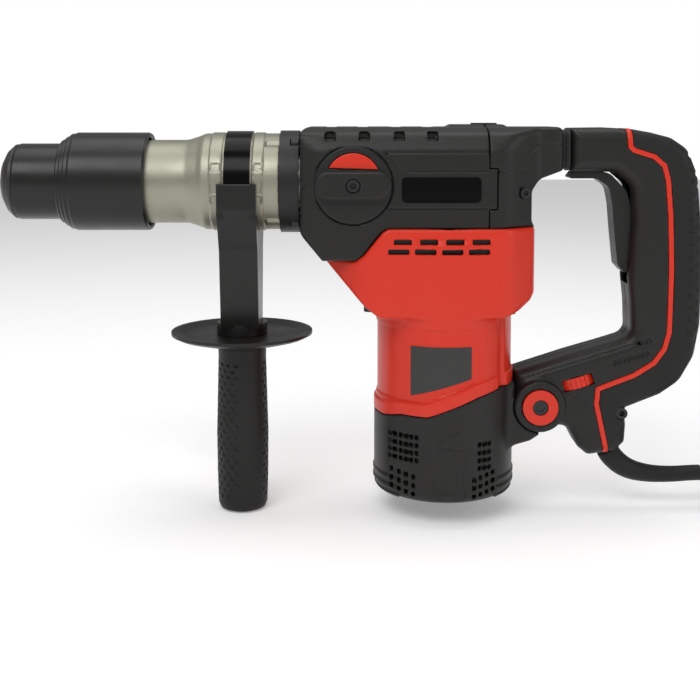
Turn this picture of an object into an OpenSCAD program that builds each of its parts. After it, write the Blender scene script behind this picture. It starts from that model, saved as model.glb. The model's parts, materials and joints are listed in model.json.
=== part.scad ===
// Rotary hammer with a vertical motor, a side handle and a sprung D-handle.
// +Z is up, the drill axis runs along X with the tool holder at -X, and the floor is z = 0.

/* [Overall] */
// Height of the drill axis above the foot of the side handle
bore_z = 230; // [200:1:260]
// Front end of the tool holder
nose_x = -238; // [-260:1:-220]
// Position of the motor's axis along the tool
motor_x = 64.6; // [55:0.1:75]
// Wall of the plastic housings
wall = 3; // [2:0.5:4]

/* [Tool holder] */
// Radius of the bore that takes the bit's shank
bore_r = 9.05; // [5:0.05:10]
// Outside radius of the front sleeve
front_sleeve_r = 26.2; // [22:0.1:30]
// Outside radius of the sliding sleeve
lock_sleeve_r = 33.8; // [30:0.1:38]
// Radius of the hammer tube
tube_r = 18; // [16:0.5:20]
// Bore of the hammer tube
cylinder_r = 15; // [12:0.5:16]

/* [Gear barrel] */
// Radius of the neck behind the sliding sleeve
neck_r = 28.7; // [26:0.1:31]
// Radius of the clamping collar
collar_r = 33.2; // [30:0.1:36]
// Radius of the black ring that bolts the barrel on
ring_r = 35.2; // [33:0.1:38]

/* [Side handle] */
// Position of the side handle along the tool
aux_x = -76; // [-84:1:-70]
// Width of the stem
stem_w = 26; // [20:1:30]
// Radius of the hand guard
guard_r = 49; // [40:1:55]
// Largest radius of the grip
grip_r = 18; // [15:0.5:20]
// Underside of the hand guard
guard_z = 117; // [100:1:130]

/* [Housings] */
// Half width of the gear housing
case_w = 43.3; // [38:0.1:46]
// Top of the gear housing
case_top = 268.2; // [260:0.1:280]
// Half width of the motor flange
flange_w = 45.5; // [40:0.5:48]
// Radius of the motor tube
motor_r = 46.9; // [40:0.1:50]
// Radius of the end cap
cap_r = 48.2; // [42:0.1:50]
// Underside of the end cap
cap_z = 16.8; // [10:0.1:30]

/* [Gears] */
// Distance from the motor's axis to each gear
gear_step = 27; // [24:0.5:30]
// Teeth of the motor pinion
pinion_teeth = 10; // [8:1:12]
// Teeth of the crank gear and the intermediate gear
wheel_teeth = 40; // [32:1:48]
// Half of the piston's stroke
crank_throw = 11; // [8:0.5:14]

/* [D-handle] */
// Half width of the handle
handle_w = 18; // [14:0.5:22]
// Position of the damper pivot along the tool
pivot_x = 129.1; // [120:0.1:140]
// Height of the damper pivot
pivot_z = 77; // [70:0.1:85]
// Radius of the pivot boss
boss_r = 17.6; // [15:0.1:20]
// Half width of the pivot boss
boss_w = 24; // [20:0.5:28]

/* [Cord] */
// Radius of the cord
cord_r = 4.5; // [3:0.5:5]
// Middle radius of the coil
coil_r = 53; // [45:1:60]
// Centre of the coil along the tool
coil_x = 332; // [320:1:360]

/* [Hidden] */

$fn = 48;
gap = 0.4;
slip = 0.05;
bite = 0.1;
far = 60;
sel_z = 229.7;
arm_slope = 16.6;
dial = [156, 92.6];
crank_x = motor_x + gear_step;
inter_x = motor_x - gear_step;
band_r = collar_r + slip;
neck_x = -109;
collar_x = -100.7;
ring_x = [-48.2, -35];
seam_x = 91;
jog_x = 96.5;
dark = [0.12, 0.12, 0.13];
red = [0.8, 0.14, 0.1];
steel = [0.6, 0.6, 0.62];
cast = [0.62, 0.63, 0.58];
copper = [0.72, 0.42, 0.2];
rubber = [0.08, 0.08, 0.08];

// ---- helpers ----
function unit(v) = v / norm(v);
function turn(a) = ((a + 540) % 360) - 180;
// one rounded corner: p is [x, y, r], a and b are its neighbours
function corner(a, p, b, n) = len(p) < 3 || p[2] == 0 ? [[p[0], p[1]]] :
  let (q = [p[0], p[1]], u = unit([a[0], a[1]] - q), v = unit([b[0], b[1]] - q),
    half = acos(u * v) / 2, c = q + unit(u + v) * p[2] / sin(half),
    s = q + u * p[2] / tan(half) - c, e = q + v * p[2] / tan(half) - c,
    a0 = atan2(s[1], s[0]), da = turn(atan2(e[1], e[0]) - a0))
  [for (i = [0:n]) c + p[2] * [cos(a0 + da * i / n), sin(a0 + da * i / n)]];
function rounded(pts, n = 4) = [for (i = [0:len(pts) - 1])
  each corner(pts[(i + len(pts) - 1) % len(pts)], pts[i], pts[(i + 1) % len(pts)], n)];
function area(p) = [for (i = 0, s = 0; i <= len(p);
  s = s + (i < len(p) ? p[i][0] * p[(i + 1) % len(p)][1] - p[(i + 1) % len(p)][0] * p[i][1] : 0),
  i = i + 1) s][len(p)];
// the outline p moved inwards by d
function inset(p, d) = let (s = area(p) > 0 ? 1 : -1, n = len(p)) [for (i = [0:n - 1])
  let (q = [p[i][0], p[i][1]], a = p[(i + n - 1) % n], b = p[(i + 1) % n],
    u = unit(q - [a[0], a[1]]), v = unit([b[0], b[1]] - q),
    nu = s * [-u[1], u[0]], nv = s * [-v[1], v[0]], m = nu + nv)
  q + m * d * 2 / (m * m)];
// the outline of a toothed wheel
function teeth(n, root, tip, phase) = [for (i = [0:n - 1]) let (a = 360 * (i + phase) / n, w = 360 / n)
  each [root * [cos(a - w * 0.27), sin(a - w * 0.27)], tip * [cos(a - w * 0.12), sin(a - w * 0.12)],
    tip * [cos(a + w * 0.12), sin(a + w * 0.12)], root * [cos(a + w * 0.27), sin(a + w * 0.27)]]];
function spline(a, b, c, d, t) = 0.5 * (2 * b + (c - a) * t + (2 * a - 5 * b + 4 * c - d) * t * t
  + (3 * b - a - 3 * c + d) * t * t * t);
function smooth(p, n) = [for (i = [0:len(p) - 2]) for (k = [0:n - 1])
  spline(p[max(i - 1, 0)], p[i], p[i + 1], p[min(i + 2, len(p) - 1)], k / n), p[len(p) - 1]];
function tangent(p, i) = unit(p[min(i + 1, len(p) - 1)] - p[max(i - 1, 0)]);
function around(p, t, r, n, up) = let (a = unit(cross(t, up)), b = cross(a, t))
  [for (i = [0:n - 1]) p + r * (cos(360 * i / n) * a + sin(360 * i / n) * b)];

// a round tube along points; r is one radius for each point
module swept(p, r, n, up) {
  rings = [for (i = [0:len(p) - 1]) each around(p[i], tangent(p, i), r[i], n, up)];
  last = (len(p) - 1) * n;
  sides = [for (i = [0:len(p) - 2]) for (k = [0:n - 1])
    [i * n + k, i * n + (k + 1) % n, (i + 1) * n + (k + 1) % n, (i + 1) * n + k]];
  ends = [[for (k = [0:n - 1]) n - 1 - k], [for (k = [0:n - 1]) last + k]];
  polyhedron(rings, concat(sides, ends), convexity = 6);
}

// a coil spring from [0, 0, 0] along X
module coil_spring(length, r, wire, turns) {
  steps = turns * 12;
  p = [for (i = [0:steps]) [length * i / steps, r * cos(i * 30), r * sin(i * 30)]];
  swept(p, [for (i = [0:steps]) wire], 8, [1, 0, 0]);
}

// an outline in X and Z, as thick as y0 to y1
module side(p, y0, y1) {
  translate([0, y1, 0]) rotate([90, 0, 0]) linear_extrude(height = y1 - y0) polygon(p);
}

// an outline in Y and Z, from x0 to x1
module front(p, x0, x1) {
  translate([x0, 0, 0]) rotate([90, 0, 90]) linear_extrude(height = x1 - x0) polygon(p);
}

// an outline in X and Y, from z0 to z1
module plan(p, z0, z1) {
  translate([0, 0, z0]) linear_extrude(height = z1 - z0) polygon(p);
}

// a turned shape on the drill axis; each point is [x, radius]
module bore_turn(p) {
  translate([0, 0, bore_z]) rotate([0, 90, 0]) rotate_extrude($fn = 64) polygon([for (q = p) [q[1], q[0]]]);
}

module bore_tube(x0, x1, r0, r1) {
  bore_turn([[x0, r0], [x1, r0], [x1, r1], [x0, r1]]);
}

// a turned shape on an upright axis at x; each point is [radius, z]
module post_turn(x, p) {
  translate([x, 0, 0]) rotate_extrude($fn = 64) polygon(p);
}

module post(x, y, z0, z1, r) {
  translate([x, y, z0]) cylinder(h = z1 - z0, r = r);
}

// a bar across the tool
module cross_bar(x, z, y0, y1, r) {
  translate([x, y0, z]) rotate([-90, 0, 0]) cylinder(h = y1 - y0, r = r);
}

module box(x, y, z) {
  translate([x[0], y[0], z[0]]) cube([x[1] - x[0], y[1] - y[0], z[1] - z[0]]);
}

module both_sides() {
  children();
  mirror([0, 1, 0]) children();
}

// ---- outlines of the housings ----
case_split = [[-19, 179.4], [3.4, 179.4], [8.5, 183], [20.5, 198], [24.4, 200], [130, 200]];
rear_hollow = [[80, 197], [118.3, 197], [118.3, 226], [124, 235.5], [140.2, 241.5], [140.2, 300],
  [80, 300]];
// gear housing, seen from the side
case_side = concat([[-34.7, 197.6], [-34.7, bore_z + 35], [-28, case_top], [150, case_top],
  [150, 200]], [for (i = [4:-1:0]) case_split[i]]);
case_section = rounded([[-case_w, 178, 0], [case_w, 178, 0], [case_w, 250, 12], [34, 265, 12],
  [20, case_top, 30], [-20, case_top, 30], [-34, 265, 12], [-case_w, 250, 12]]);
case_plan = rounded([[-35, -ring_r, 3], [-20, -case_w, 16], [101, -case_w, 20], [126, -25, 10],
  [143.2, -22, 4], [143.2, 22, 4], [126, 25, 10], [101, case_w, 20], [-20, case_w, 16],
  [-35, ring_r, 3]]);
rear_side = rounded([[seam_x, 200, 0], [seam_x, 213.6, 0], [jog_x, 213.6, 0], [jog_x, 240.7, 0],
  [seam_x, 240.7, 0], [seam_x, case_top, 0], [141, case_top, 3], [143.2, 265, 0],
  [143.2, 238.5, 3], [126, 232.5, 8], [121.3, 224, 5], [121.3, 205, 3], [124.4, 200, 0]]);
flange_side = concat(case_split, [[130, 141], [20, 141], [9.3, 149.1]]);
flange_plan = rounded([[-19.5, -20, 6], [8, -flange_w, 22], [104, -flange_w, 16],
  [125.4, -26, 14], [125.4, 26, 14], [104, flange_w, 16], [8, flange_w, 22], [-19.5, 20, 6]]);
flange_rear = [[-30, 210], [124.9, 210], [124.9, 154], [121, 148.5], [112, 140.5], [-30, 140.5]];
red_foot = [[-10, 72.2], [22, 72.2], [34, 75.8], [51, 75.8], [84, 88.5], [100, 92.6], [130, 92.6]];

module case_solid(d) {
  intersection() {
    side(inset(case_side, d), -far, far);
    front(inset(case_section, d), -40, 150);
    plan(inset(case_plan, d), 150, 300);
  }
}

module rear_region(d) {
  side(inset(rear_side, d), -far, far);
}

module motor_solid(d) {
  intersection() {
    union() {
      post(motor_x, 0, 60, 190, motor_r - d);
      intersection() {
        side(inset(flange_side, d), -far, far);
        side(inset(flange_rear, d), -far, far);
        plan(inset(flange_plan, d), 100, 260);
      }
    }
    side(concat(red_foot, [[130, 202], [-30, 202], [-30, 72.2]]), -far, far);
  }
}

// ---- tool holder ----
module dust_cap() {
  color(rubber) bore_turn([[nose_x + 3.4, 9.8], [nose_x, 14], [nose_x, 16], [nose_x + 3.4, 22],
    [nose_x + 7.5, 25.6], [-228.6, 25.6], [-228.6, 17.4], [-233, 17.4], [-233, 9.8]]);
}

module chuck_front_sleeve() {
  color(dark) difference() {
    bore_turn([[-228.2, 17.2], [-228.2, 25.7], [-227.4, front_sleeve_r], [-199, front_sleeve_r],
      [-199, 24], [-207, 24], [-207, 17.2]]);
  }
}

module lock_sleeve() {
  color(dark) bore_turn([[-198.4, 24.4], [-198.4, 28.4], [-197.6, 29], [-195.4, 29],
    [-195.4, 30.4], [-194.6, 31.1], [-192.4, 31.1], [-192.4, 32.3], [-191.6, 33],
    [-189.4, 33], [-188.2, lock_sleeve_r], [-139.4, lock_sleeve_r], [-138, 33], [-138, 31.4],
    [-139, 30.6], [-163, 30.6], [-163, 22.6], [-186, 22.6], [-186, 24.4]]);
}

module spindle() {
  color(steel) difference() {
    bore_turn([[-232.6, bore_r], [-232.6, 16.6], [-228, 17.1], [-152, 17.1], [-152, tube_r],
      [70, tube_r], [70, cylinder_r], [-95, cylinder_r], [-98, 13], [-150, 13], [-154, bore_r]]);
    for (a = [90, 270]) {
      translate([-182, 0, bore_z]) rotate([a, 0, 0]) translate([-9, -4.6, 6]) cube([18, 9.2, 14]);
    }
    for (a = [0, 120, 240]) {
      translate([-226, 0, bore_z]) rotate([a, 0, 0]) translate([-10, -1.7, 8]) cube([64, 3.4, 3.6]);
    }
  }
}

module locking_rollers() {
  color(steel) for (s = [-1, 1]) {
    translate([-189, s * 13.9, bore_z]) rotate([0, 90, 0]) cylinder(h = 14, r = 4.2);
  }
}

module sleeve_spring() {
  color(steel) translate([-161.2, 0, bore_z]) coil_spring(11.6, 25.6, 1.3, 3);
}

module spindle_gear() {
  color(steel) difference() {
    bore_turn([[20, tube_r], [20, 24], [24, 26], [29.4, 26], [31, 24], [31, 19.4], [27, tube_r]]);
    for (i = [0:27]) {
      translate([31, 0, bore_z]) rotate([i * 360 / 28, 0, 0]) translate([-2.4, -1.2, 19.6])
        cube([4, 2.4, 7]);
    }
  }
}

module spindle_bearing() {
  color(steel) {
    bore_turn([[-34, 18.05], [-20, 18.05], [-20, 20.5], [-34, 20.5]]);
    bore_tube(-34, -20, 25, 28);
    for (i = [0:11]) {
      translate([-27, 0, bore_z]) rotate([i * 30, 0, 0]) translate([0, 0, 22.75]) sphere(r = 2.3, $fn = 24);
    }
  }
}

// ---- gear barrel ----
module screw_boss(a) {
  translate([-57, 0, bore_z]) rotate([a, 0, 0]) translate([0, -3.2, 29]) cube([8.7, 6.4, 5.9]);
}

module gear_barrel() {
  color(cast) difference() {
    union() {
      bore_turn([[-148, 22], [-148, neck_r - 0.6], [-147.4, neck_r], [neck_x, neck_r],
        [-105.5, 30], [-102.6, 31.8], [collar_x, collar_r], [ring_x[0], collar_r],
        [ring_x[0], 31.2], [-35.2, 31.2], [-35.2, 28.2], [-44, 28.2], [-44, 22]]);
      bore_tube(-94, -86, collar_r - 1, collar_r + 0.6);
      bore_tube(-66, -59.8, collar_r - 1, collar_r + 0.6);
      for (a = [38, 142, 218, 322]) {
        screw_boss(a);
      }
    }
    for (a = [74, 84, 96, 106, 254, 264, 276, 286]) {
      translate([-97, 0, bore_z]) rotate([a, 0, 0]) translate([0, -0.4, collar_r + 0.05])
        cube([40, 0.8, 2]);
    }
  }
}

module front_ring() {
  color(dark) difference() {
    bore_tube(ring_x[0] + 0.1, ring_x[1], 31.3, ring_r);
    for (a = [38, 142, 218, 322]) {
      translate([-41, 0, bore_z]) rotate([a, 0, 0]) translate([0, 0, 34.2]) rotate([0, 90, 0])
        cylinder(h = 10, r = 3.6);
    }
  }
}

// ---- screws of the housings ----
module socket_screw(r, h) {
  difference() {
    cylinder(h = h, r = r);
    translate([0, 0, h - r * 0.7]) cylinder(h = r, r = r * 0.55, $fn = 6);
  }
}

module housing_screws() {
  color(steel) {
    for (a = [38, 142, 218, 322]) {
      translate([-35.3, 0, bore_z]) rotate([a, 0, 0]) translate([0, 0, 34.2]) rotate([0, -90, 0])
        socket_screw(2.8, 4.8);
    }
    both_sides() translate([115.7, -33.2, 224.2]) rotate([90, 0, 0]) socket_screw(3.3, 3);
  }
}

// ---- side handle ----
module clamp_band() {
  color(dark) difference() {
    union() {
      intersection() {
        bore_tube(aux_x - 8.7, aux_x + 8.7, band_r, band_r + 1.6);
        box([-100, -50], [-far, far], [bore_z, bore_z + far]);
      }
      for (s = [-1, 1]) {
        box([aux_x - 8.7, aux_x + 8.7], s > 0 ? [band_r, band_r + 1.6] : [-band_r - 1.6, -band_r],
          [bore_z - 22, bore_z]);
      }
    }
  }
}

stem_section = rounded([[-17, 130, 0], [17, 130, 0], [24.5, 184, 10], [38, 211, 12],
  [38, 230.2, 1.5], [35.2, 230.2, 0], [35.2, 208, 0], [33.9, 208, 0], [-33.9, 208, 0],
  [-35.2, 208, 0], [-35.2, 230.2, 0], [-38, 230.2, 1.5], [-38, 211, 12], [-24.5, 184, 10]]);

module handle_stem() {
  color(dark) difference() {
    union() {
      front(stem_section, aux_x - stem_w / 2, aux_x + stem_w / 2);
      box([aux_x - stem_w / 2, aux_x - 9], [34, 37.8], [207, 230.2]);
      box([aux_x + 9, aux_x + stem_w / 2], [34, 37.8], [207, 230.2]);
      box([aux_x - stem_w / 2, aux_x - 9], [-37.8, -34], [207, 230.2]);
      box([aux_x + 9, aux_x + stem_w / 2], [-37.8, -34], [207, 230.2]);
      post(aux_x, 0, guard_z + 7.2, 132, 17.5);
    }
    bore_tube(-100, -50, 1, collar_r + 1);
    post(aux_x, 0, 100, 192, 5.4);
    for (s = [-1, 1]) {
      box([aux_x - 9, aux_x + 9], s > 0 ? [33, 35.2] : [-35.2, -33], [206, 240]);
    }
  }
}

module guard_disc() {
  color(dark) post_turn(aux_x, [[6, guard_z], [20, guard_z], [36, guard_z + 2.6], [45, guard_z + 5],
    [guard_r, guard_z + 7], [guard_r, guard_z + 9], [46.6, guard_z + 9], [40, guard_z + 6.6],
    [22, guard_z + 6.8], [6, guard_z + 6.8]]);
}

module aux_grip() {
  color(rubber) post_turn(aux_x, [[5.6, 3], [5.6, guard_z - 0.1], [17, guard_z - 0.1], [16.6, 108],
    [17.2, 84], [grip_r, 54], [17.6, 24], [17, 6], [15.6, 2], [12, 0], [9, 0], [9, 3]]);
}

module clamp_bolt() {
  color(steel) {
    post(aux_x, 0, 20, 190, 4.6);
    translate([aux_x, 0, 14]) cylinder(h = 8, r = 5.5, $fn = 6);
  }
}

// ---- gear housing ----
// opening in the floor for the gears and the motor shaft
floor_x = [13.8, 118.2];
floor_w = 24;

module gear_case() {
  color(dark) difference() {
    case_solid(0);
    case_solid(wall);
    rear_region(-0.1);
    box([jog_x - 0.1, 160], [-far, far], [198, 300]);
    bore_tube(-40, -20, 0, 28.4);
    bore_tube(-37, -33.4, 20, 31.3);
    for (x = [-13.6, 8.7, 31.8, 54]) {
      both_sides() box([x - 3.4, x + 3.4], [-far, -33], [258.6, 264.2]);
    }
    cross_bar(1.4, sel_z, -far, -case_w + 2.6, 26.4);
    cross_bar(1.4, sel_z, -far, 0, 5);
    box([34, 85], [-far, -case_w + 0.8], [219, 234.6]);
    box([-20, 130], [-39, 39], [170, 184]);
    box(floor_x, [-floor_w, floor_w], [183.9, 203.1]);
    post(crank_x, 0, 262, 280, 8.2);
  }
}

module rear_cover() {
  color(dark) difference() {
    intersection() {
      case_solid(0);
      rear_region(0.05);
    }
    intersection() {
      case_solid(wall);
      side(rear_hollow, -far, far);
    }
    cross_bar(115.7, 224.2, -far, -33, 4);
    cross_bar(115.7, 224.2, 33, far, 4);
    box(floor_x, [-floor_w, floor_w], [190, 203.1]);
    post(crank_x, 0, 262, 280, 8.2);
    translate([139, 0, 252]) rotate([0, 90, 0]) cylinder(h = 8, r = 12);
  }
}

module grease_cap() {
  color(dark) difference() {
    union() {
      post(crank_x, 0, case_top + 0.05, 270.4, 9);
      post(crank_x, 0, 264, case_top + 0.1, 8.1);
    }
    box([crank_x - 6, crank_x + 6], [-1, 1], [269, 272]);
  }
}

module side_badge() {
  outline = rounded([[34.4, 219.3, 2], [84.7, 219.3, 2], [84.7, 234.3, 2], [34.4, 234.3, 2]]);
  color([0.03, 0.03, 0.03]) side(outline,
    -case_w - 0.1, -case_w + 0.75);
}

// ---- mode selector ----
insert_line = [for (i = [0:10]) [1.4 + 17.9 * cos(23.2 + 13.36 * i), 233.1 + 17.9 * sin(23.2 + 13.36 * i)]];

module selector_knob() {
  color(dark) difference() {
    union() {
      cross_bar(1.4, sel_z, -case_w - 0.2, -case_w + 2.4, 25.4);
      side(rounded([[-23.6, 220.8, 8.8], [26.4, 220.8, 8.8], [26.4, 238.8, 8.8], [-23.6, 238.8, 8.8]]),
        -49, -case_w + 1);
      cross_bar(1.4, sel_z, -case_w + 2, -32, 4.8);
    }
    cross_bar(1.4, sel_z, -50, -44.6, 4.6);
    side(insert_line, -50, -case_w + 1);
  }
}

module selector_insert() {
  color(red) side(inset(insert_line, 0.15), -case_w - 1.4, -case_w + 0.95);
}

module selector_screw() {
  color(steel) translate([1.4, -44.7, sel_z]) rotate([90, 0, 0]) socket_screw(4.2, 3);
}

// ---- gears, crank and hammer parts ----
module crank_gear() {
  color(steel) {
    translate([crank_x, 0, 203]) linear_extrude(height = 8) polygon(teeth(wheel_teeth, 20.6, 22.3, 0));
    post(crank_x, 0, 184, 203.1, 6);
    post(crank_x, 0, 210.9, 217, 17);
    post(crank_x + crank_throw, 0, 216.9, 222, 4.5);
  }
}

module intermediate_gear() {
  color(steel) {
    translate([inter_x, 0, 191]) linear_extrude(height = 8) polygon(teeth(wheel_teeth, 20.6, 22.3, 0));
    post(inter_x, 0, 183, 191.1, 6);
    post(inter_x, 0, 198.9, 201, 5);
    difference() {
      post_turn(inter_x, [[0, 200.9], [5.8, 200.9], [5.8, 210], [0, 210]]);
      for (i = [0:9]) {
        translate([inter_x, 0, 202]) rotate([0, 0, i * 36]) translate([4.2, -0.8, 0]) cube([4, 1.6, 12]);
      }
    }
  }
}

module gear_bearings() {
  color(steel) {
    difference() {
      union() {
        post(crank_x, 0, 185, 195, 14);
        post(inter_x, 0, 183.6, 189.6, 11);
      }
      post(crank_x, 0, 180, 200, 6.05);
      post(inter_x, 0, 180, 200, 6.05);
    }
  }
}

module connecting_rod() {
  color(steel) {
    difference() {
      union() {
        post(crank_x + crank_throw, 0, 225, 235, 8);
        post(crank_x + crank_throw - 45, 0, 225, 235, 6.5);
        box([crank_x + crank_throw - 42, crank_x + crank_throw - 4], [-4, 4], [226, 234]);
      }
      post(crank_x + crank_throw - 45, 0, 220, 240, 3.5);
    }
    post(crank_x + crank_throw, 0, 222.6, 225.1, 4.5);
  }
}

module piston() {
  color(cast) {
    difference() {
      bore_turn([[36, 0], [36, cylinder_r - slip], [68, cylinder_r - slip], [68, 11], [48, 11],
        [46, 9], [46, 0]]);
      bore_turn([[39, 14], [41, 14], [41, 16], [39, 16]]);
    }
    post(crank_x + crank_throw - 45, 0, 219.5, 240.5, 3.45);
  }
}

module striker() {
  color(steel) difference() {
    bore_turn([[-32, 0], [-32, 8], [-20, 8.6], [-18, cylinder_r - slip], [12, cylinder_r - slip],
      [12, 9], [4, 9], [4, 0]]);
    bore_turn([[0, 14], [2, 14], [2, 16], [0, 16]]);
  }
}

module impact_bolt() {
  color(steel) bore_turn([[-152, 0], [-152, 7], [-151, 8.6], [-145, 8.6], [-143, 12.9], [-106, 12.9],
    [-103, 9], [-92, 9], [-91, 8], [-91, 0]]);
}

// ---- motor ----
screw_y = 32;

module motor_housing() {
  color(red) difference() {
    union() {
      motor_solid(0);
      both_sides() post(13.6, -screw_y, 150.6, 166, 7.3);
      both_sides() post(105.2, -screw_y, 149, 166, 7.3);
      intersection() {
        post(motor_x, 0, 72.2, 82, 48.4);
        side(concat(red_foot, [[130, 82], [-10, 82]]), -far, far);
      }
    }
    difference() {
      motor_solid(wall);
      box([-30, 140], [-far, far], [196, 210]);
    }
    post(motor_x, 0, 60, 150, motor_r - wall);
    box([-10, 108], [-36, 36], [180, 210]);
    both_sides() {
      post(13.6, -screw_y, 130, 150.6, 6.2);
      post(105.2, -screw_y, 130, 149, 6.2);
    }
    box([-12, 20], [-14, 14], [150, 184]);
    // vents
    both_sides() for (i = [0:3]) {
      box([28 + i * 17, 40 + i * 17], [-far, -40], [191, 194]);
      box([25 + i * 18, 39.6 + i * 17.4], [-far, -40], [184.4, 187.6]);
    }
    // shallow field for the rating plate
    difference() {
      box([17.8, 86], [-far, -10], [84, 134]);
      post(motor_x, 0, 80, 140, motor_r - 0.8);
    }
  }
}

module motor_screws() {
  color([0.05, 0.05, 0.05]) both_sides() {
    translate([13.6, -screw_y, 150.5]) rotate([180, 0, 0]) socket_screw(5, 5.6);
    translate([105.2, -screw_y, 148.9]) rotate([180, 0, 0]) socket_screw(5, 5.6);
  }
}

module rating_plate() {
  color([0.15, 0.15, 0.16]) intersection() {
    side([[39.6, 89.2], [80, 101.3], [80, 123], [39.6, 123]], -far, 0);
    difference() {
      post(motor_x, 0, 85, 130, motor_r - 0.3);
      post(motor_x, 0, 80, 135, motor_r - 0.78);
    }
  }
}

module stator() {
  color(steel) difference() {
    post(motor_x, 0, 98, 150, 43.8);
    post(motor_x, 0, 90, 160, 25.4);
    both_sides() box([motor_x - 34, motor_x - 22], [-18, 18], [90, 160]);
    both_sides() box([motor_x + 22, motor_x + 34], [-18, 18], [90, 160]);
  }
}

module armature() {
  color(steel) difference() {
    post(motor_x, 0, 98, 150, 24.9);
    post(motor_x, 0, 90, 160, 6.5);
    for (i = [0:11]) {
      translate([motor_x, 0, 90]) rotate([0, 0, i * 30]) translate([18, -1.2, 0]) cube([8, 2.4, 70]);
    }
  }
}

module motor_shaft() {
  color(steel) {
    post(motor_x, 0, 40, 191, 6.45);
    translate([motor_x, 0, 190.9]) linear_extrude(height = 20) polygon(teeth(pinion_teeth, 4.1, 6, 0.5));
  }
}

module commutator() {
  color(copper) difference() {
    post(motor_x, 0, 66, 90, 16);
    post(motor_x, 0, 60, 95, 6.5);
    for (i = [0:23]) {
      translate([motor_x, 0, 60]) rotate([0, 0, i * 15]) translate([14, -0.4, 0]) cube([4, 0.8, 40]);
    }
  }
}

module fan() {
  color(dark) difference() {
    union() {
      post(motor_x, 0, 158, 160, 38);
      post(motor_x, 0, 159.9, 172, 11);
      for (i = [0:14]) {
        translate([motor_x, 0, 159.9]) rotate([0, 0, i * 24]) translate([14, -0.8, 0]) cube([23, 1.6, 12]);
      }
    }
    post(motor_x, 0, 150, 180, 6.5);
  }
}

module motor_bearings() {
  color(steel) difference() {
    union() {
      post(motor_x, 0, 175, 184, 15);
      post(motor_x, 0, 42, 52, 14);
    }
    post(motor_x, 0, 30, 190, 6.5);
  }
}

module brush_holders() {
  color([0.75, 0.6, 0.3]) for (s = [-1, 1]) {
    difference() {
      box(s > 0 ? [motor_x + 20, motor_x + 40] : [motor_x - 40, motor_x - 20], [-6, 6], [68, 88]);
      box(s > 0 ? [motor_x + 19, motor_x + 38] : [motor_x - 38, motor_x - 19], [-4, 4], [70, 86]);
    }
  }
}

module carbon_brushes() {
  color([0.1, 0.1, 0.1]) for (s = [-1, 1]) {
    box(s > 0 ? [motor_x + 16.4, motor_x + 34] : [motor_x - 34, motor_x - 16.4], [-3.9, 3.9], [70.1, 85.9]);
  }
}

module grille(x0, n, pitch, rows, step) {
  for (i = [0:n - 1]) {
    for (z = rows) {
      box([x0 + i * pitch, x0 + i * pitch + 2.4], [-far, 0], [z + i * step, z + i * step + 3]);
    }
  }
}

// ear of the end cap that carries the pivot pin
module pivot_ear(w, r, hole) {
  difference() {
    union() {
      cross_bar(pivot_x, pivot_z, -w, w, r);
      side([[100, 60], [pivot_x - 4, 65.7], [pivot_x, 88], [100, 90]], -w, w);
    }
    cross_bar(pivot_x, pivot_z, -w - 1, w + 1, hole);
    post(motor_x, 0, 40, 120, cap_r - 1);
  }
}

module end_cap() {
  color(dark) difference() {
    union() {
      intersection() {
        post_turn(motor_x, [[0, cap_z], [36, cap_z], [43, cap_z + 3], [cap_r, cap_z + 12],
          [cap_r, 94], [0, 94]]);
        side(concat(red_foot, [[130, 10], [-10, 10]]), -far, far);
      }
      intersection() {
        difference() {
          side([[90, 48], [104, 47.4], [pivot_x - 6, 53], [pivot_x, 58], [pivot_x, 70], [110.6, 84],
            [110.6, 92.4], [104, 92.4], [90, 89.6]], -24, 24);
          cross_bar(pivot_x, pivot_z, -far, far, boss_r + 0.6);
        }
        plan([[90, -30], [150, -24], [150, 24], [90, 30]], 0, 120);
      }
      pivot_ear(9.4, 12, 5);
    }
    intersection() {
      post_turn(motor_x, [[0, cap_z + 3], [35, cap_z + 3], [40.6, cap_z + 5.1], [cap_r - 3, cap_z + 12.8],
        [cap_r - 3, 100], [0, 100]]);
      side(concat(inset(concat(red_foot, [[130, 0], [-10, 0]]), -1)), -far, far);
    }
    // room for the boss of the handle
    both_sides() cross_bar(pivot_x, pivot_z, -far, -9.6, boss_r + 0.8);
    grille(22, 7, 3.4, [60.2, 54.9, 49.8, 44.6], 0);
    grille(84.6, 3, 3.4, [55.4, 50, 44.9, 39.6], 0);
    grille(30.4, 3, 5, [37.2, 30.6], -0.6);
  }
}

// ---- D-handle ----
handle_points = [[149, 267, 1.5], [174.4, 267.3, 0], [190.5, 266.4, 0], [204, 264, 0],
  [218, 260.4, 12], [229.6, 252.6, 14], [236.6, 235, 20], [239.4, 206, 0], [240.6, 188, 0],
  [241, 161, 0], [240.2, 132, 20], [236.4, 110, 20], [226.6, 92.4, 20], [213, 83, 10],
  [189.4, 73.6, 2], [190.3, 61.4, 0], [189.6, 50, 3], [183, 43.4, 3], [164, 40.6, 4], [157, 46.5, 6],
  [148.9, 62, 8], [135, 60.5, 0], [129, 59.4, 0], [120, 61.9, 0], [113.7, 68.6, 0], [111.5, 77, 0],
  [112.6, 85, 0], [113.4, 99, 2], [149.2, 110.7, 0], [178, 119.2, 14], [192.8, 124, 8], [191.8, 147, 0],
  [189.9, 164, 0], [192.3, 206, 0], [190.6, 228, 9], [180, 237, 6], [149, 237, 1.5]];
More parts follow.
